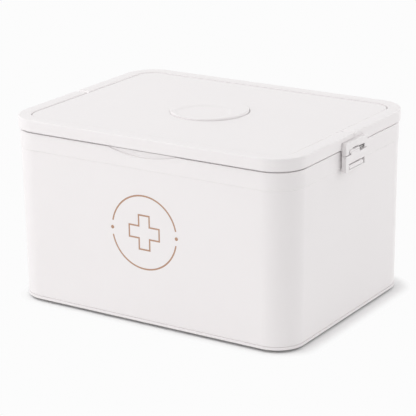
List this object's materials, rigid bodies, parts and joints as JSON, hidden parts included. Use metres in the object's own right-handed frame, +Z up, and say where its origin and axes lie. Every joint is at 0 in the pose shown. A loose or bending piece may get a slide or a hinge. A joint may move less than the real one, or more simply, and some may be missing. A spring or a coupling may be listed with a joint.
{
  "type": "medicine storage box",
  "caption": "Rectangular plastic box with rounded corners, a lift-off lid, a carrying handle folding flush into the lid's rim, end snap latches and a lift-out divided tray.",
  "frame": {"origin": "centre of the footprint, on the surface that the box stands on", "axes": "+X along the long side to the right, -Y out of the front face that carries the handle's grip, +Z up"},
  "size_m": [0.3292, 0.24, 0.1882],
  "materials": {
    "white_plastic": "satin moulded white plastic, faint fine grain",
    "tray_plastic": "smooth satin moulded plastic",
    "seal_rubber": "matt pale silicone",
    "pin_steel": "drawn steel wire"
  },
  "bodies": {
    "tub": {"tub": "white_plastic"},
    "lid": {"lid_frame": "white_plastic", "lid_panel": "white_plastic", "lid_well": "white_plastic", "lid_seal": "seal_rubber", "handle_pivot_left": "pin_steel", "handle_pivot_right": "pin_steel", "latch_pin_left": "pin_steel", "latch_pin_right": "pin_steel"},
    "well_cap": {"well_cap": "white_plastic"},
    "handle": {"handle": "white_plastic"},
    "latch_left": {"latch_left": "white_plastic"},
    "latch_right": {"latch_right": "white_plastic"},
    "tray": {"tray": "tray_plastic", "tray_divider_1": "tray_plastic", "tray_divider_2": "tray_plastic", "tray_divider_3": "tray_plastic", "tray_divider_4": "tray_plastic"}
  },
  "joints": [
    {"name": "lid_lift", "type": "slide", "parent": "tub", "child": "lid", "axis": [0, 0, 1], "range_m": [0, 0.24]},
    {"name": "tray_lift", "type": "slide", "parent": "tub", "child": "tray", "axis": [0, 0, 1], "range_m": [0, 0.12]},
    {"name": "cap_lift", "type": "slide", "parent": "lid", "child": "well_cap", "axis": [0, 0, 1], "range_m": [0, 0.03]},
    {"name": "handle_swing", "type": "hinge", "parent": "lid", "child": "handle", "pos_m": [0, -0.006, 0.1817], "axis": [-1, 0, 0], "range_deg": [0, 92]},
    {"name": "latch_left_swing", "type": "hinge", "parent": "lid", "child": "latch_left", "pos_m": [-0.1624, -0.0032, 0.1714], "axis": [0, 1, 0], "range_deg": [0, 90]},
    {"name": "latch_right_swing", "type": "hinge", "parent": "lid", "child": "latch_right", "pos_m": [0.1624, -0.0032, 0.1714], "axis": [0, -1, 0], "range_deg": [0, 90]}
  ],
  "couplings": [
    {"joint": "tray_lift", "follows": "lid_lift", "ratio": 0.5}
  ]
}
